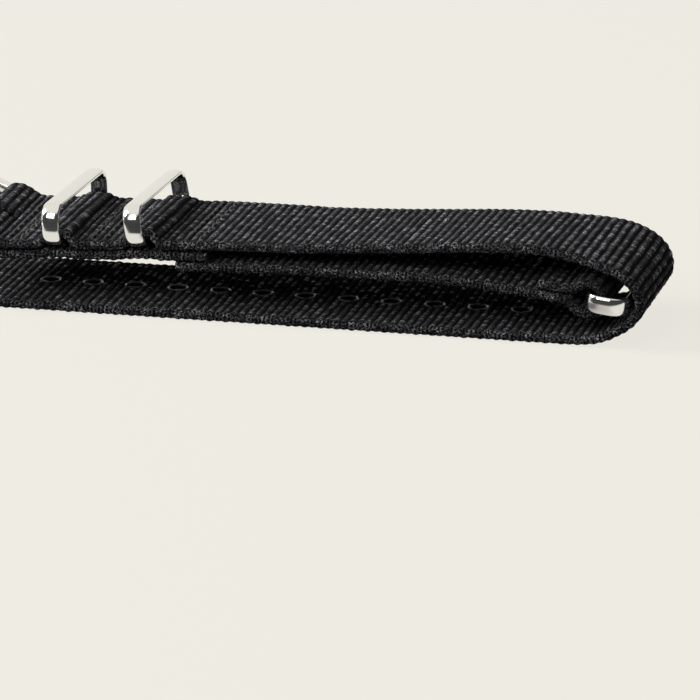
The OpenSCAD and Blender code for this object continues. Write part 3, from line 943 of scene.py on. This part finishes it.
# What rides on what
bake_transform(lower)
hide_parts("strap_tail", "strap_bend")
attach(upper, "upper_run")
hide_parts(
    "strap_upper",
    "buckle_fold",
    "keeper_pocket_1",
    "pocket_bridge",
    "keeper_pocket_2",
    "strap_return_end",
)
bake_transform(flap)
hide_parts("flap_root", "flap_web", "flap_ring_fold")
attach(hole_rims, "lower_run")
for piece, body, node in (
    (seam_buckle, "upper_run", "fold_stitches"),
    (seam_bridge, "upper_run", "bridge_stitches"),
    (seam_root, "upper_run", "root_stitches"),
    (seam_flap, "flap", "flap_stitches"),
    (keeper_1, "keeper_1", "keeper_1"),
    (keeper_2, "keeper_2", "keeper_2"),
    (flap_ring, "flap_ring", "flap_ring"),
    (buckle_frame, "buckle", "buckle_frame"),
    (tongue_piece, "tongue", "buckle_tongue"),
):
    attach(piece, body)
    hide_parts(node)

# Floor, light and camera
# The backdrop's colour, and the dark that only mirror rays see, a painted reflection
BACK, PAINTED_REFLECTION_DARK = (0.855, 0.831, 0.768), (0.05, 0.05, 0.05)
FLOOR_COLOUR, LIGHT_COLOUR = (0.28, 0.27, 0.255), (1.0, 0.985, 0.96)
FLOOR_SIZE, FLOOR_Z = 6.0, -0.0001
# The photo's side in pixels, and the camera's sensor in millimetres
PICTURE, SENSOR = 700, 36
# The share of its own colour that the floor shows; the rest is the light and shadow on it
FLOOR_OWN = 0.91


def seen(tree):
    """1 for what the camera, or a mirror or glass, looks at, and 0 for what lights the object."""
    path = add(tree, "ShaderNodeLightPath")
    ray = calc(tree, "MAXIMUM", path.outputs["Is Camera Ray"], path.outputs["Is Glossy Ray"])
    return calc(tree, "MAXIMUM", ray, path.outputs["Is Transmission Ray"])


def floor_material():
    """Mostly the backdrop's own colour, with a soft share of the light and shadow on it.

    To mirror rays alone it is dark far in front and in a patch beside the ring, a painted reflection
    that the steel shows.
    """
    mat, tree, bsdf = nodes_of("floor_look")
    colour = blend_colour(tree, seen(tree), FLOOR_COLOUR, BACK)
    tree.links.new(colour, bsdf.inputs["Base Color"])
    bsdf.inputs["Roughness"].default_value = 1.0
    bsdf.inputs["Specular IOR Level"].default_value = 0.0
    place = object_place(tree)
    # Painted reflection: mirror rays alone see the floor dark far in front and in a patch beside the
    # ring
    far = remap(tree, parts(tree, place)[1], From_Min=-0.034, From_Max=-0.042)
    beside = add(tree, "ShaderNodeVectorMath", operation="DISTANCE")
    tree.links.new(place, beside.inputs[0])
    beside.inputs[1].default_value = (0.064, -0.02, 0)
    reflection_patch = remap(tree, beside.outputs["Value"], From_Min=0.03, From_Max=0.012, To_Max=0.85)
    mirrored = add(tree, "ShaderNodeLightPath").outputs["Is Glossy Ray"]
    away = calc(tree, "MULTIPLY", calc(tree, "MAXIMUM", far, reflection_patch), mirrored)
    plain = add(tree, "ShaderNodeEmission")
    tree.links.new(blend_colour(tree, away, BACK, PAINTED_REFLECTION_DARK), plain.inputs["Color"])
    share = calc(tree, "MULTIPLY_ADD", away, 1 - FLOOR_OWN, FLOOR_OWN)
    own = calc(tree, "MULTIPLY", seen(tree), share)
    shown = mix_shaders(tree, own, bsdf.outputs[0], plain.outputs[0])
    tree.links.new(shown, tree.nodes["Material Output"].inputs["Surface"])
    return mat


floor_mesh = bpy.data.meshes.new("floor")
around = ((-1, -1), (1, -1), (1, 1), (-1, 1))
corners = [(x * FLOOR_SIZE, y * FLOOR_SIZE, FLOOR_Z) for x, y in around]
floor_mesh.from_pydata(corners, [], [(0, 1, 2, 3)])
floor = bpy.data.objects.new("floor", floor_mesh)
bpy.context.scene.collection.objects.link(floor)
floor_mesh.materials.append(floor_material())


def backdrop(tree, colour):
    node = add(tree, "ShaderNodeBackground")
    node.inputs[0].default_value = (*colour, 1)
    return node.outputs[0]


def studio():
    """A pale room that lights softly; to mirror rays alone it is dark in front and on the right, a
    painted reflection that only steel shows.
    """
    world = bpy.data.worlds.new("studio")
    bpy.context.scene.world = world
    world.use_nodes = True
    tree = world.node_tree
    light = tree.nodes["Background"]
    light.inputs[0].default_value = (*LIGHT_COLOUR, 1)
    light.inputs[1].default_value = 0.13
    x, y, z = parts(tree, add(tree, "ShaderNodeTexCoord").outputs["Generated"])
    # Painted reflection: mirror rays alone see the room dark in front and on the right
    front = remap(tree, y, From_Min=-0.15, From_Max=-0.4)
    below = remap(tree, z, From_Min=0.85, From_Max=0.7)
    right = remap(tree, x, From_Min=0.24, From_Max=0.34)
    side = calc(tree, "MULTIPLY", calc(tree, "MAXIMUM", front, right), below)
    mirrored = add(tree, "ShaderNodeLightPath").outputs["Is Glossy Ray"]
    where = calc(tree, "MULTIPLY", side, mirrored)
    shown = mix_shaders(tree, where, backdrop(tree, BACK), backdrop(tree, PAINTED_REFLECTION_DARK))
    mix = mix_shaders(tree, seen(tree), light.outputs[0], shown)
    tree.links.new(mix, tree.nodes["World Output"].inputs["Surface"])


studio()


def lamp(name, place, aim, size, power):
    data = bpy.data.lights.new(name, "AREA")
    data.shape = "RECTANGLE"
    data.size, data.size_y = size
    data.energy = power
    obj = bpy.data.objects.new(name, data)
    bpy.context.scene.collection.objects.link(obj)
    obj.location = place
    obj.rotation_euler = (Vector(aim) - Vector(place)).to_track_quat("-Z", "Y").to_euler()
    obj.visible_camera = False
    return obj


lamp("key", (-0.78, -0.14, 0.66), (0.02, 0, 0), (0.4, 0.4), 12.8)
lamp("front", (-0.2, -0.85, 0.66), (0.02, 0, 0), (0.6, 0.5), 4.7)


def camera():
    """The camera that fits the photo, in which (SHIFT, -HALF, 0) lies at pixel (520.8, 342.7)."""
    az, el = math.radians(13.5), math.radians(16.2)
    forward = np.array([-math.sin(az) * math.cos(el), math.cos(az) * math.cos(el), -math.sin(el)])
    right = np.array([math.cos(az), math.sin(az), 0.0])
    up = np.cross(right, forward)
    distance, focal = 700.0, 5950.0
    pixel_x, pixel_y = 520.8 - PICTURE / 2, 342.7 - PICTURE / 2
    ray = forward * focal + right * pixel_x - up * pixel_y
    place = np.array([SHIFT, -HALF, 0.0]) - ray * (distance / focal)
    data = bpy.data.cameras.new("camera")
    data.sensor_fit = "HORIZONTAL"
    data.sensor_width = SENSOR
    data.lens = focal * SENSOR / PICTURE
    data.clip_start, data.clip_end = 0.01, 50
    obj = bpy.data.objects.new("camera", data)
    bpy.context.scene.collection.objects.link(obj)
    m = np.eye(4)
    m[:3, 0], m[:3, 1], m[:3, 2], m[:3, 3] = right, up, -forward, place * MM
    obj.matrix_world = Matrix(m.tolist())
    bpy.context.scene.camera = obj


camera()
bpy.context.scene.view_settings.view_transform = "Standard"
